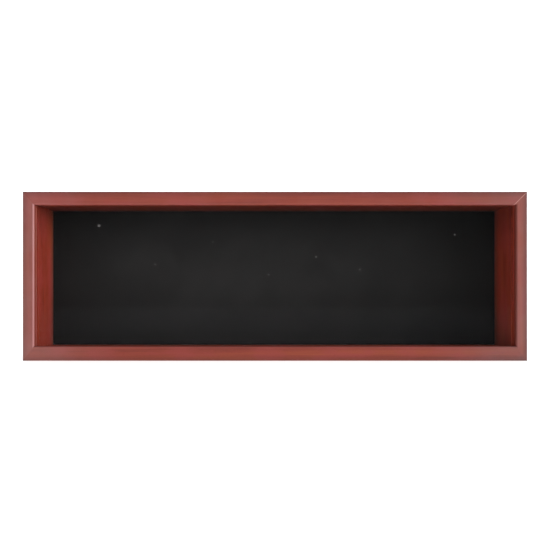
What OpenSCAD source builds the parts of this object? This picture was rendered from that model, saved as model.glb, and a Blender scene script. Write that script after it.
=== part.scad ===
// Jersey display frame: a mitred wooden case with a felt back and a glazed door hinged along its top edge.
// Units are millimetres. X runs along the length, the door's front faces -Y and Z is up.
// The origin is at the middle of the bottom of the case.

/* [Overall] */
// Outside width of the case
case_w = 914; // [700:1:1100]
// Outside height of the case
case_h = 307; // [260:1:420]
// Outside depth, from the front of the door to the back edges
case_d = 95; // [75:1:120]

/* [Case] */
// Thickness of the four case boards
board_t = 22; // [19:0.5:22]
// Width of the rebate at the back that takes the felt board and the back panel
rebate_w = 6; // [5:0.5:6]
// How far the back panel lies inside the back edges
back_recess = 3; // [2:0.5:6]
// Width of the finger notch under the case
notch_w = 72; // [50:1:100]

/* [Back] */
// Thickness of the felt
felt_t = 1.5; // [1:0.5:3]
// Thickness of the board behind the felt
felt_board_t = 5; // [3:0.5:6]
// Thickness of the back panel
back_panel_t = 3.5; // [3:0.5:6]

/* [Door] */
// Thickness of the door frame
door_t = 14; // [13.5:0.5:16]
// Face width of the top rail
top_rail_w = 24; // [22:0.5:30]
// Face width of the bottom rail
bottom_rail_w = 26; // [23:0.5:30]
// Face width of the two stiles
stile_w = 20.5; // [19.5:0.5:26]
// Thickness of the lip in front of the pane
lip_t = 7.5; // [6:0.5:8]
// Thickness of the clear pane
pane_t = 3; // [2:0.5:3]
// Radius of the round-over along the outer front edges
outer_round = 2; // [1:0.5:5]
// Radius of the round-over along the inner front edges
inner_round = 2.8; // [0.5:0.1:3.5]

/* [Hinge] */
// Length of the continuous hinge
hinge_len = 880; // [600:1:880]
// Number of knuckles, an odd number
knuckles = 35; // [15:2:41]
// Width of each leaf, from the pin's axis
leaf_w = 13; // [12:0.5:14]
// Thickness of each leaf
leaf_t = 1.2; // [1:0.1:1.4]
// Number of screws in each leaf
leaf_screws = 10; // [4:1:12]

/* [Hanging] */
// Height of the keyholes' entries below the top of the case
keyhole_drop = 61; // [50:1:80]
// Radius of each keyhole's entry
keyhole_r = 4.25; // [4:0.05:4.5]

/* [Hidden] */
$fn = 48;

// Names of the four sides of a mitred frame, in the order of its corners
BOTTOM = 0;
RIGHT = 1;
TOP = 2;
LEFT = 3;

overrun = 1;          // how far a cutting shape runs past the face it cuts
fit_gap = 0.1;        // clearance round a piece let into wood
parting_gap = 1;      // gap between the door and the case
door_foot_gap = 0.5;  // the door ends this far above the case's underside

// Depths, from front to back
front_y = -case_d / 2;
back_y = case_d / 2;
pane_y = front_y + lip_t + fit_gap;
bead_y = pane_y + pane_t + fit_gap;
door_back_y = front_y + door_t;
bead_t = door_back_y - fit_gap - bead_y;
case_front_y = door_back_y + parting_gap;
case_board_d = back_y - case_front_y;
panel_back_y = back_y - back_recess;
panel_y = panel_back_y - back_panel_t;
felt_board_y = panel_y - felt_board_t;
felt_y = felt_board_y - felt_t;

// Outlines in X and Z: half width, bottom and top
case_outer = [case_w / 2, 0, case_h];
case_inner = [case_w / 2 - board_t, board_t, case_h - board_t];
rebate_outline = inset(case_inner, -rebate_w);
panel_outline = inset(rebate_outline, 0.4);
door_outer = [case_w / 2, door_foot_gap, case_h];
sight = [case_w / 2 - stile_w, door_foot_gap + bottom_rail_w, case_h - top_rail_w];
glazing_rebate_w = 6;
glazing_outline = inset(sight, -glazing_rebate_w);
pane_outline = inset(glazing_outline, 0.5);
bead_outline = inset(glazing_outline, fit_gap);

// Hinge
barrel_r = 2.5;
pin_r = 1.2;
pin_bore_r = pin_r + 0.05;
barrel_clearance = 0.3;
groove_h = barrel_r + barrel_clearance;     // the groove's floor lies this far below the axis
hinge_y = door_back_y + parting_gap / 2;
hinge_z = case_h - groove_h;
door_groove_d = 3.8;                        // lets the door's top edge pass over the case
leaf_offset = 0.2;                          // between the axis plane and each leaf
leaf_pitch = hinge_len / knuckles;
knuckle_gap = 0.4;
leaf_screw_z = hinge_z - 8.4;
leaf_screw_span = hinge_len - 80;

// Screws, all countersunk
head_r = 2.4;
shank_r = 1.2;
pilot_r = shank_r + fit_gap;

// Keyhole hanger plates, in the back edges of the side boards
plate_w = 12;
plate_h = 38;
plate_t = 1.5;
plate_x = case_w / 2 - (board_t - rebate_w) / 2;
keyhole_z = case_h - keyhole_drop;
keyhole_slot_r = 2.1;
keyhole_travel = 9;
plate_z = keyhole_z + 5;
plate_screw_offset = 15;
keyhole_pocket_d = 9;

// Magnets, strikes and bumpers, along the bottom board's front edge
magnet_r = 5;
magnet_t = 4;
magnet_x = 250;
strike_r = 6;
strike_t = 1;
bumper_r = 4;
bumper_t = 0.8;
front_edge_z = board_t / 2;

// Finger notch
notch_d = 14;
notch_h = 9;

// Corner biscuits, 47 x 15 x 4
biscuit_l = 47;
biscuit_w = 15;
biscuit_t = 4;
biscuit_along_mitre = 17;   // from the outer corner, measured along the mitre
biscuit_arc_r = (pow(biscuit_l / 2, 2) + pow(biscuit_w / 2, 2)) / biscuit_w;

// Corner nails of the door
nail_leg = 6;
nail_t = 0.5;
nail_d = 8;
nail_inset = 9;

// Framer's points
point_w = 6;
point_t = 0.5;
point_in_board = 6;
point_on_panel = 5;

// Bead brads
brad_r = 0.5;
brad_l = 10;
brad_y = bead_y + bead_t / 2;
brad_set = 0.3;

wood = [0.56, 0.27, 0.21];
brass = [0.78, 0.62, 0.32];
steel = [0.72, 0.73, 0.75];

// An outline made smaller all round by d
function inset(outline, d) = [outline[0] - d, outline[1] + d, outline[2] - d];
// Corners of an outline as [x, z], from the bottom left, turning anticlockwise as seen from the front
function corners(outline) = [
    [-outline[0], outline[1]], [outline[0], outline[1]],
    [outline[0], outline[2]], [-outline[0], outline[2]]
];
// Positions spread evenly over a span, centred on 0
function spread(count, span) = [for (i = [0 : count - 1]) span * (i / (count - 1) - 0.5)];

// ---- Shared shapes ----

// Extrudes an outline drawn in X and Z backwards from y
module plate_from(y, thickness) {
    translate([0, y + thickness, 0])
        rotate([90, 0, 0])
            linear_extrude(thickness)
                children();
}

module outline_square(outline) {
    translate([-outline[0], outline[1]])
        square([2 * outline[0], outline[2] - outline[1]]);
}

// The part of a frame that belongs to one side: its ends are cut along the mitres
module mitred_side(side, outer, inner, y, thickness) {
    a = corners(outer);
    b = corners(inner);
    next = (side + 1) % 4;
    plate_from(y, thickness)
        polygon([a[side], a[next], b[next], b[side]]);
}

// Takes a profile drawn for the bottom side, with depth along X and height along Y,
// and runs it along one side of a frame
module run_along(side, outer) {
    run = side == BOTTOM || side == TOP ? 2 * outer[0] : outer[2] - outer[1];
    mid_z = (outer[1] + outer[2]) / 2;
    place = [[0, outer[1]], [outer[0], mid_z], [0, outer[2]], [-outer[0], mid_z]][side];
    turn = [0, -90, 180, 90][side];
    translate([place[0], 0, place[1]])
        rotate([0, turn, 0])
            rotate([90, 0, 90])
                linear_extrude(run, center = true)
                    children();
}

// What a round-over takes off a profile's corner at the origin
module corner_waste(radius) {
    difference() {
        translate([-overrun, -overrun])
            square(radius + overrun);
        translate([radius, radius])
            circle(radius);
    }
}

// A cylinder along Y, from y backwards
module rod_y(x, y, z, radius, length) {
    translate([x, y + length, z])
        rotate([90, 0, 0])
            cylinder(h = length, r = radius);
}

// A countersunk screw at the origin, its head's face at z = 0 and its shank going down
module screw(length) {
    translate([0, 0, -length])
        cylinder(h = length, r = shank_r);
    head(head_r);
}

module head(radius) {
    translate([0, 0, shank_r - radius])
        cylinder(h = radius - shank_r, r1 = shank_r, r2 = radius);
}

// The hole for such a screw, from over above its face
module screw_hole(depth, over = 0.3) {
    translate([0, 0, -depth])
        cylinder(h = depth + over, r = pilot_r);
    translate([0, 0, -(head_r - shank_r)])
        cylinder(h = head_r - shank_r + over, r1 = pilot_r, r2 = head_r + fit_gap + over);
}

// Turns a shape that goes down from z = 0 so that it goes backwards or forwards from y
module backwards(x, y, z) {
    translate([x, y, z])
        rotate([90, 0, 0])
            children();
}

module forwards(x, y, z) {
    translate([x, y, z])
        rotate([-90, 0, 0])
            children();
}

// ---- Case ----

module case_profile() {
    difference() {
        translate([case_front_y, 0])
            square([case_board_d, board_t]);
        translate([case_front_y, 0])
            corner_waste(0.8);
        translate([back_y, 0])
            mirror([1, 0])
                corner_waste(1.2);
        translate([felt_y, board_t - rebate_w])
            square([case_board_d, board_t]);
    }
}

module case_board(side) {
    difference() {
        intersection() {
            run_along(side, case_outer)
                case_profile();
            mitred_side(side, case_outer, case_inner, case_front_y - overrun, case_board_d + 2 * overrun);
        }
        biscuits(biscuit_arc_r + fit_gap, biscuit_t + 2 * fit_gap);
        hinge_groove(hinge_y, groove_h);
        framer_points(fit_gap);
    }
}

// The groove along the top that the barrel lies in. Its depth is taken from y, backwards if positive.
module hinge_groove(y, depth) {
    low_y = min(y, y + depth);
    translate([-case_w / 2 - overrun, low_y, hinge_z - groove_h])
        cube([case_w + 2 * overrun, abs(depth), 2 * groove_h]);
}

module case_top() {
    color(wood)
        difference() {
            case_board(TOP);
            leaf_recess(case_front_y - overrun, hinge_y + leaf_offset + leaf_t + fit_gap);
            for (x = spread(leaf_screws, leaf_screw_span))
                rod_y(x, case_front_y, leaf_screw_z, pilot_r, 17);
        }
}

module case_bottom() {
    color(wood)
        difference() {
            case_board(BOTTOM);
            for (side = [-1, 1])
                rod_y(side * magnet_x, case_front_y - overrun, front_edge_z, magnet_r + fit_gap, overrun + magnet_t + 0.3);
            finger_notch();
        }
}

// A slot with round ends under the front edge, where fingertips reach behind the door
module finger_notch() {
    straight = notch_w / 2 - notch_d;
    translate([-straight, case_front_y - overrun, -overrun])
        cube([2 * straight, notch_d + overrun, notch_h + overrun]);
    for (side = [-1, 1])
        translate([side * straight, case_front_y, -overrun])
            cylinder(h = notch_h + overrun, r = notch_d);
}

module side_board(side, sign) {
    color(wood)
        difference() {
            case_board(side);
            hanger_recess(sign * plate_x);
        }
}

module case_left() side_board(LEFT, -1);

module case_right() side_board(RIGHT, 1);

// One lens-shaped biscuit across each mitre of the case
module biscuits(arc_r, thickness) {
    centre_offset = biscuit_arc_r - biscuit_w / 2;
    in = biscuit_along_mitre / sqrt(2);
    mid_y = case_front_y + case_board_d * 0.45;
    for (side = [-1, 1], end = [-1, 1])
        translate([side * (case_w / 2 - in), mid_y, case_h / 2 + end * (case_h / 2 - in)])
            rotate([0, -side * end * 45, 0])
                linear_extrude(thickness, center = true)
                    intersection() {
                        translate([centre_offset, 0])
                            circle(arc_r);
                        translate([-centre_offset, 0])
                            circle(arc_r);
                    }
}

module case_corner_biscuits() {
    color([0.85, 0.72, 0.52])
        biscuits(biscuit_arc_r, biscuit_t);
}

// ---- Back ----

module felt_lining() {
    color([0.05, 0.05, 0.055])
        plate_from(felt_y, felt_t)
            outline_square(panel_outline);
}

module felt_board() {
    color([0.80, 0.78, 0.72])
        plate_from(felt_board_y, felt_board_t)
            outline_square(panel_outline);
}

module back_panel() {
    color([0.46, 0.33, 0.22])
        plate_from(panel_y, back_panel_t)
            outline_square(panel_outline);
}

// A flat point that lies on the back panel and is driven into a board, pointing along +Z
module framer_point(gap) {
    half = point_w / 2 + gap;
    tip = point_in_board + gap;
    plate_from(panel_back_y + 0.05 - gap, point_t + 2 * gap)
        polygon([[-half, -point_on_panel - gap], [half, -point_on_panel - gap], [half, tip - half], [0, tip], [-half, tip - half]]);
}

module framer_points(gap = 0) {
    for (x = spread(5, case_w * 0.8)) {
        translate([x, 0, rebate_outline[2]])
            framer_point(gap);
        translate([x, 0, rebate_outline[1]])
            rotate([0, 180, 0])
                framer_point(gap);
    }
    for (z = spread(2, case_h * 0.4), side = [-1, 1])
        translate([side * rebate_outline[0], 0, case_h / 2 + z])
            rotate([0, side * 90, 0])
                framer_point(gap);
}

module retainer_points() {
    color(steel)
        framer_points();
}

// ---- Hangers ----

module stadium(radius, low, high) {
    translate([-radius, low])
        square([2 * radius, high - low]);
    translate([0, low])
        circle(radius);
    translate([0, high])
        circle(radius);
}

module hanger_plate(x) {
    end = plate_h / 2 - plate_w / 2;
    color(brass)
        difference() {
            translate([x, 0, plate_z])
                plate_from(back_y - plate_t, plate_t)
                    difference() {
                        stadium(plate_w / 2, -end, end);
                        translate([0, keyhole_z - plate_z]) {
                            circle(keyhole_r);
                            stadium(keyhole_slot_r, 0, keyhole_travel);
                        }
                    }
            plate_screw_places(x)
                screw_hole(plate_t + overrun);
        }
}

module plate_screw_places(x) {
    for (end = [-1, 1])
        forwards(x, back_y, plate_z + end * plate_screw_offset)
            children();
}

// What the plate, its screws and the wall screw's head take out of a side board
module hanger_recess(x) {
    end = plate_h / 2 - plate_w / 2;
    translate([x, 0, plate_z])
        plate_from(back_y - plate_t, plate_t + overrun)
            stadium(plate_w / 2 + fit_gap, -end, end);
    translate([x, 0, keyhole_z])
        plate_from(back_y - plate_t - keyhole_pocket_d, keyhole_pocket_d + overrun)
            stadium(keyhole_r + 0.35, 0, keyhole_travel);
    plate_screw_places(x)
        screw_hole(13);
}

module hanger_plate_left() hanger_plate(-plate_x);

module hanger_plate_right() hanger_plate(plate_x);

module hanger_screws() {
    color(steel)
        for (side = [-1, 1])
            plate_screw_places(side * plate_x)
                screw(12);
}

// ---- Magnets, strikes and bumpers ----

module case_magnets() {
    color(steel)
        for (side = [-1, 1])
            rod_y(side * magnet_x, case_front_y + 0.2, front_edge_z, magnet_r, magnet_t);
}

module strike_plates() {
    color(steel)
        for (side = [-1, 1])
            difference() {
                rod_y(side * magnet_x, door_back_y - strike_t, front_edge_z, strike_r, strike_t);
                forwards(side * magnet_x, door_back_y, front_edge_z)
                    screw_hole(strike_t + overrun);
            }
}

module strike_screws() {
    color(steel)
        for (side = [-1, 1])
            forwards(side * magnet_x, door_back_y, front_edge_z)
                screw(9);
}

module door_bumpers() {
    color([0.85, 0.86, 0.86])
        for (side = [-1, 1])
            rod_y(side * (case_w / 2 - board_t), case_front_y - bumper_t, front_edge_z, bumper_r, bumper_t);
}

// ---- Hinge ----

// Room for one leaf between two depths
module leaf_recess(y0, y1) {
    translate([-hinge_len / 2 - fit_gap, y0, hinge_z - leaf_w - fit_gap])
        cube([hinge_len + 2 * fit_gap, y1 - y0, leaf_w]);
}

// One leaf. towards is 1 for the case's, behind the axis, and -1 for the door's, in front of it.
// The leaf carries every second knuckle, starting with the one numbered first.
module hinge_leaf(towards, first) {
    near = towards * leaf_offset;
    far = towards * (leaf_offset + leaf_t);
    low_y = min(near, far);
    color(brass)
        difference() {
            union() {
                translate([-hinge_len / 2, hinge_y + low_y, hinge_z - leaf_w])
                    cube([hinge_len, leaf_t, leaf_w - groove_h]);
                for (i = [first : 2 : knuckles - 1])
                    translate([-hinge_len / 2 + i * leaf_pitch + knuckle_gap / 2, hinge_y, hinge_z]) {
                        translate([0, low_y, -groove_h - 0.1])
                            cube([leaf_pitch - knuckle_gap, leaf_t, groove_h + 0.1]);
                        rotate([0, 90, 0])
                            cylinder(h = leaf_pitch - knuckle_gap, r = barrel_r, $fn = 32);
                    }
            }
            translate([-hinge_len / 2 - overrun, hinge_y, hinge_z])
                rotate([0, 90, 0])
                    cylinder(h = hinge_len + 2 * overrun, r = pin_bore_r, $fn = 32);
            leaf_screw_places(towards)
                screw_hole(leaf_t + overrun);
        }
}

module leaf_screw_places(towards) {
    for (x = spread(leaf_screws, leaf_screw_span)) {
        if (towards > 0)
            backwards(x, hinge_y + leaf_offset, leaf_screw_z)
                children();
        else
            forwards(x, hinge_y - leaf_offset, leaf_screw_z)
                children();
    }
}

module hinge_case_leaf() hinge_leaf(1, 0);

module hinge_door_leaf() hinge_leaf(-1, 1);

module hinge_pin() {
    color(steel)
        translate([-hinge_len / 2, hinge_y, hinge_z])
            rotate([0, 90, 0])
                cylinder(h = hinge_len, r = pin_r, $fn = 32);
}

module hinge_case_screws() {
    color(brass)
        leaf_screw_places(1)
            screw(15);
}

module hinge_door_screws() {
    color(brass)
        leaf_screw_places(-1)
            screw(10);
}

// ---- Door ----

module door_profile(width) {
    difference() {
        translate([front_y, 0])
            square([door_t, width]);
        translate([front_y, 0])
            corner_waste(outer_round);
        translate([front_y, width])
            mirror([0, 1])
                corner_waste(inner_round);
        translate([door_back_y, 0])
            mirror([1, 0])
                corner_waste(0.8);
        translate([front_y + lip_t, width - glazing_rebate_w])
            square([door_t, glazing_rebate_w + overrun]);
    }
}

module door_member(side, width) {
    color(wood)
        difference() {
            intersection() {
                run_along(side, door_outer)
                    door_profile(width);
                mitred_side(side, door_outer, sight, front_y - overrun, door_t + 2 * overrun);
            }
            hinge_groove(hinge_y, -door_groove_d);
            corner_nails(fit_gap / 2);
            brads(fit_gap / 2);
            if (side == TOP) {
                leaf_recess(hinge_y - leaf_offset - leaf_t - fit_gap, door_back_y + overrun);
                for (x = spread(leaf_screws, leaf_screw_span))
                    rod_y(x, hinge_y - leaf_offset - 10.5, leaf_screw_z, pilot_r, 12);
            }
            if (side == BOTTOM)
                for (sign = [-1, 1]) {
                    rod_y(sign * magnet_x, door_back_y - strike_t, front_edge_z, strike_r + fit_gap, strike_t + overrun);
                    rod_y(sign * magnet_x, door_back_y - 9.5, front_edge_z, pilot_r, 9.5);
                }
        }
}

module door_top_rail() door_member(TOP, top_rail_w);

module door_bottom_rail() door_member(BOTTOM, bottom_rail_w);

module door_left_stile() door_member(LEFT, stile_w);

module door_right_stile() door_member(RIGHT, stile_w);

// A V-shaped nail across each mitre, driven in from the back, with a leg in each member
module corner_nails(gap = 0) {
    half = nail_t / 2 + gap;
    for (corner = corners(inset(door_outer, nail_inset)))
        translate([corner[0], 0, corner[1]])
            mirror([corner[0] < 0 ? 1 : 0, 0, 0])
                mirror([0, 0, corner[1] < case_h / 2 ? 1 : 0])
                    plate_from(door_back_y - nail_d - gap, nail_d + gap) {
                        translate([-half, -half])
                            square([nail_leg + half, 2 * half]);
                        translate([-half, -half])
                            square([2 * half, nail_leg + half]);
                    }
}

module door_corner_nails() {
    color(steel)
        corner_nails();
}

module clear_pane() {
    color([0.85, 0.92, 0.95, 0.3])
        plate_from(pane_y, pane_t)
            outline_square(pane_outline);
}

module bead_profile() {
    width = glazing_rebate_w - fit_gap;
    difference() {
        translate([bead_y, 0])
            square([bead_t, width]);
        translate([bead_y + bead_t, width])
            mirror([1, 0])
                mirror([0, 1])
                    corner_waste(1.5);
    }
}

module bead(side) {
    color(wood)
        difference() {
            intersection() {
                run_along(side, bead_outline)
                    bead_profile();
                mitred_side(side, bead_outline, sight, bead_y - overrun, bead_t + 2 * overrun);
            }
            brads(fit_gap / 2);
        }
}

module bead_top() bead(TOP);

module bead_bottom() bead(BOTTOM);

module bead_left() bead(LEFT);

module bead_right() bead(RIGHT);

// Headless brads through the beads into the frame, set a little below the beads' faces
module brads(gap = 0) {
    over = gap > 0 ? overrun : 0;
    length = brad_l + over + gap;
    for (x = spread(4, case_w * 0.75), end = [-1, 1])
        translate([x, brad_y, end > 0 ? sight[2] + brad_set - over : sight[1] - brad_set + over])
            rotate([end > 0 ? 0 : 180, 0, 0])
                cylinder(h = length, r = brad_r + gap, $fn = 16);
    for (z = spread(2, case_h * 0.45), end = [-1, 1])
        translate([end * (sight[0] + brad_set - over), brad_y, case_h / 2 + z])
            rotate([0, end * 90, 0])
                cylinder(h = length, r = brad_r + gap, $fn = 16);
}

module bead_brads() {
    color(steel)
        brads();
}

case_top();
case_bottom();
case_left();
case_right();
case_corner_biscuits();
felt_lining();
felt_board();
back_panel();
retainer_points();
hanger_plate_left();
hanger_plate_right();
hanger_screws();
case_magnets();
strike_plates();
strike_screws();
door_bumpers();
hinge_case_leaf();
hinge_door_leaf();
hinge_pin();
hinge_case_screws();
hinge_door_screws();
door_top_rail();
door_bottom_rail();
door_left_stile();
door_right_stile();
door_corner_nails();
clear_pane();
bead_top();
bead_bottom();
bead_left();
bead_right();
bead_brads();
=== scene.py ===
"""The looks of the jersey display frame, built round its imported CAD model.

The case stands on its base with the front of its door facing -Y. Everything is in metres.
"""

import math

import bpy
import numpy as np
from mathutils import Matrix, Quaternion, Vector


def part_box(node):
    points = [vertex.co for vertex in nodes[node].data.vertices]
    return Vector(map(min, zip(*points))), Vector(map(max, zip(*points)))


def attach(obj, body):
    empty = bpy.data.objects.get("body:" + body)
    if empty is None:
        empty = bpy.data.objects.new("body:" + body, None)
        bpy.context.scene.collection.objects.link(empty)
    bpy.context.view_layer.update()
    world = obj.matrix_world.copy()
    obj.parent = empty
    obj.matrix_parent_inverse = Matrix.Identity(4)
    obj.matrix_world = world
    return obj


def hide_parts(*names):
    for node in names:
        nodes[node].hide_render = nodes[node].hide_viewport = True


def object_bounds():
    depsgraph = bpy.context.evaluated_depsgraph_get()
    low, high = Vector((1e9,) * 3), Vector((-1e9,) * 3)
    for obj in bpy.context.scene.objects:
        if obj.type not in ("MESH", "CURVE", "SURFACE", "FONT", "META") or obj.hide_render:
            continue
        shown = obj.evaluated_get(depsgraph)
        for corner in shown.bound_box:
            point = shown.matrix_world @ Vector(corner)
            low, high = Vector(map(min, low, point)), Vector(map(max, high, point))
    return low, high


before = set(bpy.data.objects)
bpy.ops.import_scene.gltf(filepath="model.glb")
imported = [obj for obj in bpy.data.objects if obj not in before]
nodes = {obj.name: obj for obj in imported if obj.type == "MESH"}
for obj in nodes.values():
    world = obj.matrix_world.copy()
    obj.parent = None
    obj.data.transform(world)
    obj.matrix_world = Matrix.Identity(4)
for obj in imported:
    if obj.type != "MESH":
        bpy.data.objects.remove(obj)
cad_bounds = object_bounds()
low, high = cad_bounds
centre = (low + high) / 2

MM = 0.001
rng = np.random.default_rng(20240)

# ---------------------------------------------------------------- camera

VIEW_WIDTH = 0.9950  # what the image spans at the plane of the door's front
CAMERA_DISTANCE = 0.912  # in front of that plane
CAMERA_LEFT = 0.025  # of the middle of the case
CAMERA_BELOW = 0.0355  # the middle of the case
VIEW_CENTRE_ABOVE = 0.0024  # the middle of the case
SENSOR_WIDTH = 36


def make_camera():
    data = bpy.data.cameras.new("camera")
    data.sensor_width = SENSOR_WIDTH
    data.lens = SENSOR_WIDTH * CAMERA_DISTANCE / VIEW_WIDTH
    data.shift_x = CAMERA_LEFT / VIEW_WIDTH
    data.shift_y = (CAMERA_BELOW + VIEW_CENTRE_ABOVE) / VIEW_WIDTH
    camera = bpy.data.objects.new("camera", data)
    camera.location = (-CAMERA_LEFT, low.y - CAMERA_DISTANCE, centre.z - CAMERA_BELOW)
    camera.rotation_euler = (math.radians(90), 0, 0)
    bpy.context.scene.collection.objects.link(camera)
    bpy.context.scene.camera = camera


# ---------------------------------------------------------------- node helpers


class Look:
    """A material, with short calls for the nodes that the materials below use."""

    def __init__(self, name):
        self.material = bpy.data.materials.new(name)
        self.material.use_nodes = True
        self.tree = self.material.node_tree
        self.tree.nodes.clear()
        self.output = self.tree.nodes.new("ShaderNodeOutputMaterial")
        self.coords = self.add("TexCoord").outputs["Object"]

    def add(self, kind, inputs=None, **settings):
        node = self.tree.nodes.new("ShaderNode" + kind)
        for name, value in settings.items():
            setattr(node, name, value)
        for key, value in (inputs or {}).items():
            self.set(node.inputs[key], value)
        return node

    def set(self, socket, value):
        if isinstance(value, bpy.types.NodeSocket):
            self.tree.links.new(value, socket)
        else:
            socket.default_value = value

    def xyz(self):
        """A point's X, Y and Z."""
        return self.add("SeparateXYZ", {0: self.coords}).outputs

    def math(self, operation, *values):
        return self.add("Math", dict(enumerate(values)), operation=operation).outputs[0]

    def product(self, first, *others):
        for other in others:
            first = self.math("MULTIPLY", first, other)
        return first

    def apart(self, a, b):
        """How far two numbers are apart."""
        return self.math("ABSOLUTE", self.math("SUBTRACT", a, b))

    def span(self, value, from_low, from_high, to_low=0.0, to_high=1.0):
        """Maps a range to another, smoothly and clamped."""
        inputs = {0: value, 1: from_low, 2: from_high, 3: to_low, 4: to_high}
        return self.add("MapRange", inputs, interpolation_type="SMOOTHSTEP").outputs[0]

    def mix(self, factor, a, b, blend="MIX"):
        inputs = {0: factor, 6: a, 7: b}
        return self.add("Mix", inputs, data_type="RGBA", blend_type=blend).outputs[2]

    def tint(self, factor, colour, tint):
        """Multiplies a colour by a tint, as far as factor says."""
        return self.mix(factor, colour, tint, "MULTIPLY")

    def stretch(self, vector, scale, offset=(0, 0, 0)):
        inputs = {"Vector": vector, "Scale": scale, "Location": offset}
        return self.add("Mapping", inputs).outputs[0]

    def noise(self, vector, scale, detail=2.0, roughness=0.5, distortion=0.0):
        inputs = {"Vector": vector, "Scale": scale, "Detail": detail}
        inputs |= {"Roughness": roughness, "Distortion": distortion}
        return self.add("TexNoise", inputs).outputs[0]

    def ramp(self, value, *stops):
        """A colour ramp with (place, colour) stops."""
        node = self.add("ValToRGB", {0: value})
        elements = node.color_ramp.elements
        while len(elements) < len(stops):
            elements.new(0.5)
        for element, (place, colour) in zip(elements, stops):
            element.position = place
            element.color = (*colour, 1)
        return node.outputs[0]

    def bump(self, height, strength, distance):
        inputs = {"Height": height, "Strength": strength, "Distance": distance}
        return self.add("Bump", inputs).outputs[0]

    def finish(self, colour, roughness, normal=None, **sockets):
        inputs = {"Base Color": colour, "Roughness": roughness}
        inputs |= {name.replace("_", " "): value for name, value in sockets.items()}
        if normal is not None:
            inputs["Normal"] = normal
        shader = self.add("BsdfPrincipled", inputs)
        self.tree.links.new(shader.outputs[0], self.output.inputs[0])
        return self.material


def grey(value):
    return (value, value, value, 1)


# ---------------------------------------------------------------- mahogany

# Colours of the stain, of its marks and of the lacquer over it, and of painted sheen, highlight and shade
MAHOGANY_DARK = (0.165, 0.019, 0.010)
MAHOGANY = (0.250, 0.033, 0.016)
MAHOGANY_ORANGE = (0.310, 0.055, 0.020)
MAHOGANY_PINK = (0.300, 0.040, 0.034, 1)
PORE_TINT = (0.45, 0.38, 0.36)
MITRE_TIP = (0.085, 0.012, 0.010, 1)
MITRE_GAP = (0.070, 0.012, 0.010, 1)
# A pale line along the door's top right mitre
MITRE_PALE_LINE = (0.56, 0.29, 0.25, 1)
# Painted sheen: pale veils standing for the lacquer's reflections, the darker one for the rails' right ends
PAINTED_SHEEN = (0.330, 0.180, 0.170, 1)
DARK_PAINTED_SHEEN = (0.150, 0.135, 0.135, 1)
WORN_LACQUER = (0.30, 0.125, 0.100, 1)
# A painted highlight for the lit inner arris, and painted shade for the right stile's inner arris
PAINTED_ARRIS_HIGHLIGHT = (0.55, 0.26, 0.26, 1)
PAINTED_ARRIS_SHADE = (0.110, 0.016, 0.012, 1)

# Tints of painted shade, which multiply the colour that they lie on
SHADED_EDGE = (0.60, 0.66, 0.70, 1)
DARK_EDGE_SHADE = (0.46, 0.52, 0.62, 1)
BACK_SHADE = (0.50, 0.94, 1.12, 1)

# How strong a mark is, from 0 to 1
# Painted sheen at the ends of the door's rails
CORNER_SHEEN = 0.27  # at the ends of the door's rails
OFF_FRONT = 0.3  # on the door's other faces, as a share of the same mark on its front
EDGE_SHADE = 0.8  # at the door's outer edge
# Painted shade at the top of the end boards' inner faces
TOP_SHADE = 0.9  # at the top of the end boards' inner faces
# Darkening at the door's four outer corners
TIP_DARKENING = 0.85  # at the door's four outer corners
ARRIS_ROUGHER = 0.3  # added to the roughness of the door's inner arris

GRAIN_WANDER = 12 * MM

# Where a mark starts and stops to fade
FRONT_FACE = (1.5 * MM, 3.5 * MM)  # behind the door's front
ARRIS_DEPTH = (2.0 * MM, 4.0 * MM)  # behind the door's front
ARRIS_WIDTH = (1.5 * MM, 3.5 * MM)  # from the sight edge
MITRE_WIDTH = (0.2 * MM, 1.3 * MM)  # from the middle of the line
TIP_SIZE = (3 * MM, 8 * MM)  # the distances from the side and from the top or bottom, added up
EDGE_WIDTH = (0, 14 * MM)  # inwards from the door's outer edge
WORN_WIDTH = (0, 2.6 * MM)  # from an outer edge of the whole object
INNER_FACE = (19 * MM, 21 * MM)  # inwards from the outside of the case
# Where the painted shade fades in at the top of the end boards
TOP_SHADE_BELOW_TOP = (110 * MM, 22 * MM)  # below the top of the case
# Where the painted sheen spreads along the door's rails
SHEEN_REACH = (0.26, 0.45)  # from the middle of a rail
DARK_SHEEN_REACH = (0.20, 0.42)  # from the middle of a rail, to the right


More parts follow.
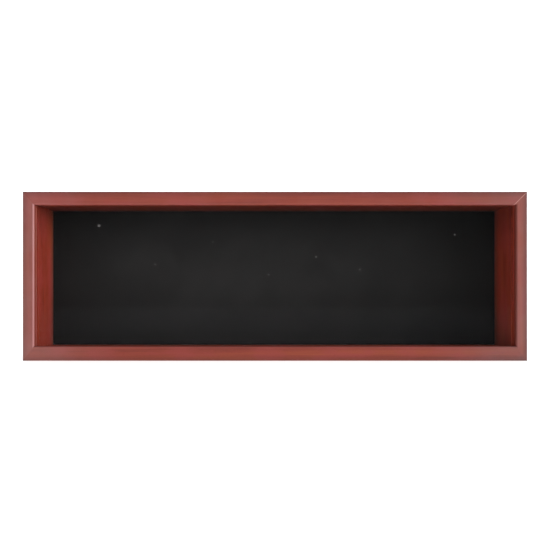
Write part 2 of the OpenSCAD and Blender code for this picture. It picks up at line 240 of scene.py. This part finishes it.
class Wood(Look):
    """Stained wood with a little wandering grain along X or Z. seed moves its pattern."""

    def __init__(self, name, along, seed):
        super().__init__(name)
        self.along, self.seed = along, seed
        self.x, self.y, self.z = self.xyz()
        self.from_side = self.math("SUBTRACT", high.x, self.math("ABSOLUTE", self.x))
        self.from_end = self.math("SUBTRACT", centre.z, self.apart(self.z, centre.z))
        length, across = (self.x, self.z) if along == "X" else (self.z, self.x)
        grain = self.add("CombineXYZ", {0: length, 1: across, 2: self.y}).outputs[0]
        grain = self.stretch(grain, (1, 1, 1), (3.7 * seed, 1.3 * seed, 0.9 * seed))
        wander = self.noise(self.stretch(grain, (2.2, 12, 12)), 1, 2)
        lift = self.add("CombineXYZ", {0: 0, 1: self.product(wander, GRAIN_WANDER), 2: 0}).outputs[0]
        self.grain = self.add("VectorMath", {0: grain, 1: lift}, operation="ADD").outputs[0]
        self.figure = self.grain_noise((2.0, 70, 70), 4, 0.55)
        self.streaks = self.grain_noise((8, 420, 420), 5, 0.62)
        self.fibre = self.grain_noise((50, 3000, 3000), 2)
        self.pores = self.span(self.grain_noise((210, 3600, 3600), 1), 0.60, 0.70)

    def grain_noise(self, scale, detail, roughness=0.5, offset=(0, 0, 0)):
        """Noise drawn out along the grain. scale is along it, across it and into the wood."""
        return self.noise(self.stretch(self.grain, scale, offset), 1, detail, roughness)

    def stained(self, tone):
        shade = self.math("MULTIPLY_ADD", self.figure, 0.50, self.product(self.streaks, 0.38))
        shade = self.math("MULTIPLY_ADD", self.fibre, 0.12, shade)
        colour = self.ramp(shade, (0.34, MAHOGANY_DARK), (0.50, MAHOGANY), (0.66, MAHOGANY_ORANGE))
        patches = self.grain_noise((14, 45, 45), 3, 0.6, (self.seed, 0, 0))
        colour = self.mix(self.span(patches, 0.42, 0.66, 0, 0.65), colour, MAHOGANY_PINK)
        colour = self.tint(0.55, colour, self.ramp(self.pores, (0, (1, 1, 1)), (1, PORE_TINT)))
        return self.tint(1.0, colour, grey(tone))

    def shaded_inside(self, colour, inside_painted_light, back_shade_from):
        """A case board's inner face: lightened or darkened by painted light and shade, with painted shade
        near the felt and, on the end boards, near the top.
        """
        inside = self.span(self.math("MINIMUM", self.from_side, self.from_end), *INNER_FACE)
        colour = self.tint(inside, colour, grey(inside_painted_light))
        felt_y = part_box("felt_lining")[0].y
        # Painted shade on the inner face, darker towards the felt
        back_shaded = self.span(self.y, felt_y - back_shade_from, felt_y)
        colour = self.tint(self.product(back_shaded, inside), colour, BACK_SHADE)
        # Painted shade on the end boards' inner faces, darker towards the top
        if self.along == "Z":
            top_shade_start, top_shade_end = (high.z - below for below in TOP_SHADE_BELOW_TOP)
            top_shaded = self.span(self.z, top_shade_start, top_shade_end, 0, TOP_SHADE)
            colour = self.tint(self.product(top_shaded, inside), colour, SHADED_EDGE)
        return colour

    def clouds(self):
        """How the painted sheen varies from place to place, around 1."""
        return self.span(self.noise(self.coords, 22, 3, 0.6), 0.3, 0.7, 0.8, 1.2)

    def on_front(self):
        """1 on the front of the door, and less on its other faces."""
        return self.span(self.math("SUBTRACT", self.y, low.y), *FRONT_FACE, 1, OFF_FRONT)

    def with_painted_sheen(self, colour, painted_sheen_and_haze, on_front=1.0):
        """Painted sheen: a pale veil that stands for the lacquer's reflection of its surroundings."""
        return self.mix(self.product(self.clouds(), painted_sheen_and_haze, on_front), colour, PAINTED_SHEEN)

    def with_painted_sheen_on_rail(self, colour, painted_sheen_and_haze, on_front):
        """The same on a rail of the door: more painted sheen towards its ends, and darker on the right."""
        amount = self.span(self.math("ABSOLUTE", self.x), *SHEEN_REACH, painted_sheen_and_haze, CORNER_SHEEN)
        sheen_colour = self.mix(self.span(self.x, *DARK_SHEEN_REACH), PAINTED_SHEEN, DARK_PAINTED_SHEEN)
        return self.mix(self.product(self.clouds(), amount, on_front), colour, sheen_colour)

    def worn(self, colour):
        """Lacquer rubbed pale along the outer edges of the whole object."""
        middle, half = (low + high) / 2, (high - low) / 2
        x, y, z = (
            self.math("SUBTRACT", h, self.apart(part, m))
            for part, m, h in zip((self.x, self.y, self.z), middle, half)
        )
        nearest = self.math("MINIMUM", x, y)
        second = self.math("MINIMUM", self.math("MAXIMUM", x, y), z)
        near_edge = self.span(self.math("MAXIMUM", nearest, second), *WORN_WIDTH, 1, 0)
        patches = self.span(self.grain_noise((30, 260, 260), 4), 0.35, 0.75, 0.15, 0.6)
        return self.mix(self.product(near_edge, patches), colour, WORN_LACQUER)

    def inner_arris(self, side):
        """1 on the arris round a door side's sight edge, fading to 0 beside and behind it."""
        box_low, box_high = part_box(side)
        away = {
            "door_left_stile": (self.x, box_high.x),
            "door_right_stile": (self.x, box_low.x),
            "door_bottom_rail": (self.z, box_high.z),
            "door_top_rail": (self.z, box_low.z),
        }[side]
        front = self.span(self.math("SUBTRACT", self.y, low.y), *ARRIS_DEPTH, 1, 0)
        return self.product(self.span(self.apart(*away), *ARRIS_WIDTH, 1, 0), front)

    def mitre_line(self, right, top):
        """1 on one corner's mitre, fading to 0 beside it, in broken strokes."""
        side = 1 if right else -1
        outwards = side * (1 if top else -1)
        across = self.math("MULTIPLY_ADD", self.z, -outwards, self.x)
        level = side * high.x - outwards * (high.z if top else low.z)
        strokes = self.span(self.noise(self.coords, 170, 3), 0.30, 0.55, 0.35, 1)
        return self.product(self.span(self.apart(across, level), *MITRE_WIDTH, 1, 0), strokes)

    def lacquered(self, colour, rougher):
        """The finished material, with rougher added to its roughness."""
        smear = self.noise(self.coords, 55, 3)
        gloss = self.math("MULTIPLY_ADD", self.streaks, 0.5, self.product(smear, 0.5))
        roughness = self.span(gloss, 0.3, 0.7, 0.30, 0.44)
        if rougher is not None:
            roughness = self.math("ADD", rougher, roughness)
        height = self.math("MULTIPLY_ADD", self.pores, -0.8, self.product(self.fibre, 0.35))
        height = self.math("MULTIPLY_ADD", self.streaks, 0.5, height)
        return self.finish(
            colour, roughness, self.bump(height, 0.30, 0.12 * MM),
            Coat_Weight=0.16, Coat_Roughness=0.18, Specular_IOR_Level=0.36,
        )


def mahogany(name, along, seed, tone=1.0, painted_sheen_and_haze=0.0, inside_painted_light=None, back_shade_from=20 * MM):
    """A board of the case or a bead of the door. Its tone lightens it, as the wood's own tone and, on the
    beads, as painted light, and a painted sheen lies over its lacquer.

    A case board's inner face is lightened or darkened as painted light and shade, and darkened further by
    painted shade from a given distance in front of the felt.
    """
    wood = Wood(name, along, seed)
    colour = wood.stained(tone)
    if inside_painted_light:
        colour = wood.shaded_inside(colour, inside_painted_light, back_shade_from)
    colour = wood.worn(wood.with_painted_sheen(colour, painted_sheen_and_haze))
    return wood.lacquered(colour, rougher=None)


def door_mahogany(name, side, along, seed, tone, painted_sheen_and_haze, mitres, arris=None, edge_tint=SHADED_EDGE):
    """A rail or stile of the door, whose node is side. Its tone is partly its own and partly painted light,
    and a painted sheen lies over it.

    edge_tint is painted shade towards its outer edge; arris is (colour, strength) of the painted highlight
    on the inner arris of the left stile and bottom rail, or of the painted shade on the right stile's;
    mitres lists (right, top, colour, strength) of the lines at its ends.
    """
    wood = Wood(name, along, seed)
    on_front = wood.on_front()
    if along == "X":
        inwards, with_painted_sheen = wood.from_end, wood.with_painted_sheen_on_rail
    else:
        inwards, with_painted_sheen = wood.from_side, wood.with_painted_sheen
    colour = wood.worn(with_painted_sheen(wood.stained(tone), painted_sheen_and_haze, on_front))
    shaded = wood.product(wood.span(inwards, *EDGE_WIDTH, EDGE_SHADE, 0), on_front)
    colour = wood.tint(shaded, colour, edge_tint)
    on_arris = wood.inner_arris(side)
    # The painted highlight or painted shade on the inner arris that this side is given
    if arris:
        arris_colour, arris_strength = arris
        colour = wood.mix(wood.product(on_arris, arris_strength), colour, arris_colour)
    for right, top, line_colour, strength in mitres:
        colour = wood.mix(wood.product(wood.mitre_line(right, top), strength), colour, line_colour)
    # Darker towards the door's four outer corners
    tips = wood.span(wood.math("ADD", wood.from_side, wood.from_end), *TIP_SIZE, TIP_DARKENING, 0)
    colour = wood.mix(tips, colour, MITRE_TIP)
    return wood.lacquered(colour, rougher=wood.product(on_arris, ARRIS_ROUGHER))


# ---------------------------------------------------------------- other materials

# How the felt's light fades towards each edge: (from, to, light at from, light at to), along X or Z
FADE_LEFT = (-0.47, -0.15, 0.38, 1)
FADE_RIGHT = (-0.06, 0.32, 1, 0.50)
FADE_BOTTOM = (0.03, 0.14, 0.62, 1)
FADE_TOP = (0.15, 0.30, 1, 0.27)
# Painted shade: the felt is darker towards the bottom right
BOTTOM_RIGHT_SHADE_ACROSS = (0.05, 0.28)
BOTTOM_RIGHT_SHADE_UP = (0.04, 0.15, 0.32, 0)


def felt_material():
    """Black wool felt: matted fibres with a soft pile, and painted shade towards its edges and bottom
    right.
    """
    look = Look("black_felt")
    blotch = look.noise(look.coords, 14, 4, 0.6, 0.4)
    mat = look.noise(look.coords, 900, 4, 0.7, 0.8)
    threads = look.noise(look.stretch(look.coords, (500, 500, 2600)), 1, 3, 0.6, 1.5)
    shade = look.math("MULTIPLY_ADD", blotch, 0.60, look.product(mat, 0.40))
    colour = look.ramp(shade, (0.34, (0.0140, 0.0130, 0.0130)), (0.66, (0.0262, 0.0246, 0.0246)))
    x, _, z = look.xyz()
    # Painted light and shade: brightest near the middle, darker towards each edge and the bottom right
    across = look.product(look.span(x, *FADE_LEFT), look.span(x, *FADE_RIGHT))
    up = look.product(look.span(z, *FADE_TOP), look.span(z, *FADE_BOTTOM))
    bottom_right_shade = look.product(look.span(x, *BOTTOM_RIGHT_SHADE_ACROSS), look.span(z, *BOTTOM_RIGHT_SHADE_UP))
    nap_and_painted_light = look.product(across, up, look.math("SUBTRACT", 1.0, bottom_right_shade))
    colour = look.tint(1.0, colour, look.ramp(nap_and_painted_light, (0, (0, 0, 0)), (1, (1, 1, 1))))
    roughness = look.span(mat, 0.3, 0.7, 0.82, 0.98)
    height = look.math("MULTIPLY_ADD", threads, 0.6, mat)
    return look.finish(
        colour, roughness, look.bump(height, 0.8, 0.35 * MM), Sheen_Weight=0.04, Sheen_Roughness=0.5,
        Sheen_Tint=(0.55, 0.52, 0.55, 1), Specular_IOR_Level=0.2,
    )


def hardboard():
    look = Look("hardboard")
    chips = look.noise(look.coords, 420, 5, 0.7, 0.6)
    clouds = look.noise(look.coords, 9, 3)
    shade = look.math("MULTIPLY_ADD", chips, 0.6, look.product(clouds, 0.4))
    colour = look.ramp(shade, (0.32, (0.13, 0.068, 0.033)), (0.68, (0.26, 0.155, 0.082)))
    roughness = look.span(chips, 0.3, 0.7, 0.62, 0.82)
    return look.finish(colour, roughness, look.bump(chips, 0.5, 0.15 * MM), Specular_IOR_Level=0.35)


def foam_board():
    look = Look("foam_board")
    paper = look.noise(look.coords, 700, 4, 0.7)
    colour = look.ramp(paper, (0.3, (0.66, 0.64, 0.58)), (0.7, (0.78, 0.76, 0.70)))
    roughness = look.span(paper, 0.3, 0.7, 0.75, 0.9)
    return look.finish(colour, roughness, look.bump(paper, 0.4, 0.08 * MM))


def beech():
    look = Look("beech_biscuit")
    flecks = look.noise(look.stretch(look.coords, (900, 90, 900)), 1, 4, 0.65)
    colour = look.ramp(flecks, (0.3, (0.50, 0.32, 0.17)), (0.7, (0.68, 0.48, 0.29)))
    roughness = look.span(flecks, 0.3, 0.7, 0.6, 0.8)
    return look.finish(colour, roughness, look.bump(flecks, 0.5, 0.1 * MM))


def metal(name, dark, light, roughness, brushed):
    """Brushed or plated metal. brushed is the scale of its scratches along X, Y and Z."""
    look = Look(name)
    scratches = look.noise(look.stretch(look.coords, brushed), 1, 3, 0.6)
    tarnish = look.noise(look.coords, 130, 4, 0.6)
    shade = look.math("MULTIPLY_ADD", tarnish, 0.6, look.product(scratches, 0.4))
    colour = look.ramp(shade, (0.3, dark), (0.66, light))
    rough = look.span(shade, 0.3, 0.7, roughness + 0.10, roughness - 0.04)
    return look.finish(colour, rough, look.bump(scratches, 0.18, 0.05 * MM), Metallic=1.0)


def clear_rubber():
    look = Look("clear_bumper")
    painted_sheen_and_haze = look.noise(look.coords, 600, 3)
    colour = look.ramp(painted_sheen_and_haze, (0.3, (0.66, 0.68, 0.68)), (0.7, (0.80, 0.81, 0.81)))
    roughness = look.span(painted_sheen_and_haze, 0.3, 0.7, 0.25, 0.4)
    return look.finish(colour, roughness, look.bump(painted_sheen_and_haze, 0.2, 0.05 * MM), Alpha=0.75)


def clear_acrylic():
    """A low-reflection clear sheet: nearly all of what is behind it shows."""
    look = Look("clear_acrylic")
    painted_sheen_and_haze = look.noise(look.coords, 25, 3)
    roughness = look.span(painted_sheen_and_haze, 0.3, 0.7, 0.03, 0.07)
    shine = look.add("BsdfGlossy", {"Color": (0.9, 0.95, 1, 1), "Roughness": roughness})
    clear = look.add("BsdfTransparent", {"Color": (0.985, 0.992, 0.99, 1)})
    turned = look.math("POWER", look.add("LayerWeight", {"Blend": 0.5}).outputs["Facing"], 4)
    amount = look.math("MULTIPLY_ADD", turned, 0.35, 0.0025)
    both = look.add("MixShader", {0: amount, 1: clear.outputs[0], 2: shine.outputs[0]})
    look.tree.links.new(both.outputs[0], look.output.inputs[0])
    return look.material


def wool(name, dark, light):
    look = Look(name)
    dye = look.noise(look.coords, 350, 3)
    colour = look.ramp(dye, (0.3, dark), (0.7, light))
    roughness = look.span(dye, 0.3, 0.7, 0.7, 0.9)
    return look.finish(colour, roughness, look.bump(dye, 0.3, 0.02 * MM), Specular_IOR_Level=0.3)


def door_looks():
    """The looks of the door's rails and stiles, by node."""
    top_right = (True, True, MITRE_PALE_LINE, 0.75)
    top_left = (False, True, MITRE_GAP, 0.15)
    bottom_right = (True, False, MITRE_GAP, 0.15)
    bottom_left = (False, False, MITRE_GAP, 0.15)
    # Tones are partly painted light, the pale veils are painted sheen, arris colours are painted highlight
    # and shade
    sides = {
        "top_rail": dict(along="X", seed=5, tone=1.12, painted_sheen_and_haze=0.13, mitres=(top_left, top_right)),
        "bottom_rail": dict(along="X", seed=6, tone=1.06, painted_sheen_and_haze=0.0, mitres=(bottom_left, bottom_right),
                            arris=(PAINTED_ARRIS_HIGHLIGHT, 0.12)),
        "left_stile": dict(along="Z", seed=7, tone=1.08, painted_sheen_and_haze=0.36, mitres=(bottom_left, top_left),
                           arris=(PAINTED_ARRIS_HIGHLIGHT, 0.50)),
        "right_stile": dict(along="Z", seed=8, tone=0.97, painted_sheen_and_haze=0.25, mitres=(bottom_right, top_right),
                            arris=(PAINTED_ARRIS_SHADE, 0.45), edge_tint=DARK_EDGE_SHADE),
    }
    return {
        "door_" + side: door_mahogany("mahogany_" + side, "door_" + side, **settings)
        for side, settings in sides.items()
    }


def paint_nodes():
    """Gives the CAD nodes their materials, all but the felt lining, which make_felt hides."""
    brass = metal("brass", (0.50, 0.34, 0.13), (0.72, 0.53, 0.24), 0.30, (25, 900, 900))
    steel = metal("zinc_plate", (0.42, 0.43, 0.44), (0.66, 0.67, 0.69), 0.34, (700, 700, 700))
    nickel = metal("nickel_plate", (0.58, 0.57, 0.55), (0.78, 0.77, 0.75), 0.16, (400, 400, 400))
    looks = {
        # Inside tones: painted light and shade. Beads' tones: painted light; their pale veils: painted
        # sheen
        "case_top": mahogany("mahogany_case_top", "X", 1, inside_painted_light=0.70, back_shade_from=60 * MM),
        "case_bottom": mahogany("mahogany_case_bottom", "X", 2, inside_painted_light=2.3),
        "case_left": mahogany("mahogany_case_left", "Z", 3, inside_painted_light=1.42),
        "case_right": mahogany("mahogany_case_right", "Z", 4, inside_painted_light=1.50),
        "bead_top": mahogany("mahogany_bead_top", "X", 9, tone=1.2, painted_sheen_and_haze=0.08),
        "bead_bottom": mahogany("mahogany_bead_bottom", "X", 10, tone=1.6, painted_sheen_and_haze=0.08),
        "bead_left": mahogany("mahogany_bead_left", "Z", 11, tone=2.0, painted_sheen_and_haze=0.40),
        "bead_right": mahogany("mahogany_bead_right", "Z", 12, tone=2.0, painted_sheen_and_haze=0.08),
        "case_corner_biscuits": beech(),
        "felt_board": foam_board(),
        "back_panel": hardboard(),
        "clear_pane": clear_acrylic(),
        "door_bumpers": clear_rubber(),
        "case_magnets": nickel,
    }
    looks |= door_looks()
    for name in ("hanger_plate_left", "hanger_plate_right", "hinge_case_leaf", "hinge_door_leaf",
                 "hinge_case_screws", "hinge_door_screws"):
        looks[name] = brass
    for name in ("retainer_points", "hanger_screws", "strike_plates", "strike_screws", "hinge_pin",
                 "door_corner_nails", "bead_brads"):
        looks[name] = steel
    for name, look in looks.items():
        mesh = nodes[name].data
        mesh.materials.clear()
        mesh.materials.append(look)


# ---------------------------------------------------------------- felt

FELT_GRID = 6 * MM
FELT_WAVES = 9
WAVE_RATE = (8, 60)  # radians per metre
WAVE_HEIGHT = 0.04 * MM
FELT_SINK = 0.25 * MM  # how far its face lies on average behind the front of the CAD model's felt
LEAST_SINK = 0.02 * MM


def make_felt():
    """The felt as a thin closed cloth with a slightly uneven face, stretched over its board."""
    start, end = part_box("felt_lining")
    columns, rows = int((end.x - start.x) / FELT_GRID), int((end.z - start.z) / FELT_GRID)
    waves = []
    for _ in range(FELT_WAVES):
        rates = rng.uniform(*WAVE_RATE), rng.uniform(*WAVE_RATE)
        phases = rng.uniform(0, 6.28), rng.uniform(0, 6.28)
        waves.append(rates + phases)

    def sink(x, z):
        height = sum(math.sin(a * x + p) * math.sin(b * z + q) for a, b, p, q in waves)
        return max(LEAST_SINK, FELT_SINK + WAVE_HEIGHT * height)

    vertices, faces = [], []
    stride = columns + 1
    for back in (False, True):
        for j in range(rows + 1):
            for i in range(stride):
                x = start.x + (end.x - start.x) * i / columns
                z = start.z + (end.z - start.z) * j / rows
                vertices.append((x, end.y if back else start.y + sink(x, z), z))
    behind = stride * (rows + 1)
    for j in range(rows):
        for i in range(columns):
            a = j * stride + i
            b, c, d = a + 1, a + 1 + stride, a + stride
            faces.append((a, b, c, d))
            faces.append((behind + d, behind + c, behind + b, behind + a))
    rim = list(range(columns)) + [columns + j * stride for j in range(rows)]
    rim += [rows * stride + i for i in range(columns, 0, -1)] + [j * stride for j in range(rows, 0, -1)]
    for k, a in enumerate(rim):
        b = rim[(k + 1) % len(rim)]
        faces.append((b, a, behind + a, behind + b))
    mesh = bpy.data.meshes.new("felt_cloth")
    mesh.from_pydata(vertices, [], faces)
    mesh.shade_smooth()
    mesh.materials.append(felt_material())
    felt = bpy.data.objects.new("felt_cloth", mesh)
    bpy.context.scene.collection.objects.link(felt)
    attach(felt, "case")
    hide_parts("felt_lining")


# ---------------------------------------------------------------- loose fibres

NAP_FIBRES = 3600
NAP_LENGTH = (0.9, 2.4)  # mm
NAP_LIFT = (0.15, 0.7)  # how far a hair starts off away from the felt, for each 1 along it
NAP_RADIUS = 0.025 * MM
NAP_MARGIN = 8 * MM  # from the felt's edges
LINT_FIBRES = (7, 12)  # in a speck of size 1
LINT_LENGTH = (1.2, 2.6)  # mm, in a speck of size 1
LINT_LIFT = (0.05, 0.5)  # as NAP_LIFT
LINT_RADIUS = 0.10 * MM  # in a speck of size 1
LINT_SPREAD = 0.5  # mm, of the fibres' roots
LINT_PROUD = 0.05 * MM  # of the front of the CAD model's felt
# Specks of lint on the felt, as x, z and how large they are
LINT = [
    (-0.345, 0.256, 2.0), (-0.234, 0.180, 1.0), (-0.180, 0.055, 1.2),
    (-0.120, 0.224, 1.1), (-0.063, 0.051, 1.2), (-0.010, 0.160, 1.1),
    (0.083, 0.195, 1.2), (0.170, 0.170, 1.1), (0.357, 0.239, 1.5),
]


class Fibres:
    """Collects many fine bent fibres, each a tapering three-sided tube, in one mesh."""

    TAPER = 0.75

    def __init__(self, name, material):
        self.name, self.material = name, material
        self.vertices, self.faces = [], []

    def add(self, root, heading, length, radius, bend, steps=3):
        """Adds one fibre from root, starting along heading and turning by bend in all."""
        place, heading = Vector(root), Vector(heading).normalized()
        turn = Quaternion(Vector((bend.y, -bend.x, 0.4 * bend.x)).normalized(), bend.length / steps)
        first = len(self.vertices)
        for step in range(steps + 1):
            across = heading.orthogonal().normalized()
            up = heading.cross(across)
            thickness = radius * (1 - self.TAPER * step / steps)
            for angle in (math.radians(120 * corner) for corner in range(3)):
                outwards = math.cos(angle) * across + math.sin(angle) * up
                self.vertices.append(place + thickness * outwards)
            place = place + heading * (length / steps)
            heading = turn @ heading
        for step in range(steps):
            a = first + 3 * step
            for i in range(3):
                j = (i + 1) % 3
                self.faces.append((a + i, a + j, a + j + 3, a + i + 3))
        self.faces.append((first + 2, first + 1, first))
        last = first + 3 * steps
        self.faces.append((last, last + 1, last + 2))

    def make(self, body):
        mesh = bpy.data.meshes.new(self.name)
        mesh.from_pydata(self.vertices, [], self.faces)
        mesh.shade_smooth()
        mesh.materials.append(self.material)
        piece = bpy.data.objects.new(self.name, mesh)
        bpy.context.scene.collection.objects.link(piece)
        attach(piece, body)


def make_nap():
    """The felt's loose surface hairs."""
    start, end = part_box("felt_lining")
    nap_and_painted_light = Fibres("felt_nap", wool("black_wool", (0.006, 0.006, 0.006), (0.016, 0.015, 0.015)))
    for _ in range(NAP_FIBRES):
        x = rng.uniform(start.x + NAP_MARGIN, end.x - NAP_MARGIN)
        z = rng.uniform(start.z + NAP_MARGIN, end.z - NAP_MARGIN)
        angle, lift = rng.uniform(0, 2 * math.pi), rng.uniform(*NAP_LIFT)
        heading = (math.cos(angle), -lift, math.sin(angle))
        length = rng.uniform(*NAP_LENGTH) * MM
        bend = Vector((*rng.normal(0, 0.5, 2), 0))
        nap_and_painted_light.add((x, start.y + FELT_SINK, z), heading, length, NAP_RADIUS, bend)
    nap_and_painted_light.make("case")


def make_lint():
    """A few specks of pale lint that have caught on the felt."""
    felt_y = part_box("felt_lining")[0].y
    lint = Fibres("felt_lint", wool("pale_lint", (0.28, 0.26, 0.26), (0.50, 0.48, 0.48)))
    for x, z, size in LINT:
        for _ in range(int(rng.integers(*LINT_FIBRES) * size)):
            angle = rng.uniform(0, 2 * math.pi)
            root_x = x + rng.normal(0, LINT_SPREAD) * MM
            root_z = z + rng.normal(0, LINT_SPREAD) * MM
            heading = (math.cos(angle), -rng.uniform(*LINT_LIFT), math.sin(angle))
            bend = Vector((*rng.normal(0, 1.1, 2), 0))
            length = rng.uniform(*LINT_LENGTH) * size * MM
            root = (root_x, felt_y - LINT_PROUD, root_z)
            lint.add(root, heading, length, LINT_RADIUS * size, bend, steps=5)
    lint.make("case")


# ---------------------------------------------------------------- stage and light

WORLD_STRENGTH = 0.32  # of the even light from all round, which the camera itself sees as white
STAGE_GLOW = 0.72  # the paper is lit from behind, as on a light table
STAGE_REACH = 4.0  # to each side, and forwards
STAGE_BACK = 1.6
STAGE_TOP = 3.2
STAGE_BEND = 0.5  # radius of the turn from floor to backdrop
BEND_STEPS = 12
STAGE_GAP = 0.2 * MM  # under the case
KEY_FROM_FRONT = 60  # degrees round to the right
KEY_DISTANCE = 16
KEY_HEIGHT = 1.4
KEY_SIZE = 7.2
KEY_POWER = 2000


def make_stage():
    """A pale floor that turns up into a backdrop behind the case."""
    profile = [(-STAGE_REACH, 0)]
    for k in range(BEND_STEPS + 1):
        turn = math.radians(90 * k / BEND_STEPS)
        y = STAGE_BACK - STAGE_BEND + STAGE_BEND * math.sin(turn)
        profile.append((y, STAGE_BEND - STAGE_BEND * math.cos(turn)))
    profile.append((STAGE_BACK, STAGE_TOP))
    vertices = [(side * STAGE_REACH, y, z - STAGE_GAP) for y, z in profile for side in (-1, 1)]
    faces = [(2 * i, 2 * i + 1, 2 * i + 3, 2 * i + 2) for i in range(len(profile) - 1)]
    mesh = bpy.data.meshes.new("stage")
    mesh.from_pydata(vertices, [], faces)
    mesh.shade_smooth()
    look = Look("stage_paper")
    paper = look.noise(look.coords, 3, 2)
    colour = look.ramp(paper, (0.3, (0.93, 0.93, 0.93)), (0.7, (0.95, 0.95, 0.95)))
    look.finish(colour, 0.9, Specular_IOR_Level=0.0, Emission_Color=grey(1.0), Emission_Strength=STAGE_GLOW)
    mesh.materials.append(look.material)
    stage = bpy.data.objects.new("stage", mesh)
    bpy.context.scene.collection.objects.link(stage)


def make_world():
    """An even sky, dim as a light and white as the camera sees it."""
    world = bpy.data.worlds.new("studio")
    world.use_nodes = True
    tree = world.node_tree
    background = tree.nodes["Background"]
    background.inputs["Color"].default_value = grey(1.0)
    seen = tree.nodes.new("ShaderNodeLightPath").outputs["Is Camera Ray"]
    strength = tree.nodes.new("ShaderNodeMapRange")
    strength.inputs["To Min"].default_value = WORLD_STRENGTH
    tree.links.new(seen, strength.inputs["Value"])
    tree.links.new(strength.outputs[0], background.inputs["Strength"])
    bpy.context.scene.world = world


def make_key():
    """A distant window-like light well to the right."""
    turn = math.radians(KEY_FROM_FRONT)
    place = Vector((KEY_DISTANCE * math.sin(turn), -KEY_DISTANCE * math.cos(turn), KEY_HEIGHT))
    data = bpy.data.lights.new("key", "AREA")
    data.shape = "DISK"
    data.size = KEY_SIZE
    data.energy = KEY_POWER
    light = bpy.data.objects.new("key", data)
    light.location = place
    light.rotation_euler = (Vector((0, 0, centre.z)) - place).to_track_quat("-Z", "Y").to_euler()
    bpy.context.scene.collection.objects.link(light)


def set_view():
    settings = bpy.context.scene.view_settings
    settings.view_transform = "Standard"
    settings.look = "None"


make_camera()
paint_nodes()
make_felt()
make_nap()
make_lint()
make_stage()
make_world()
make_key()
set_view()
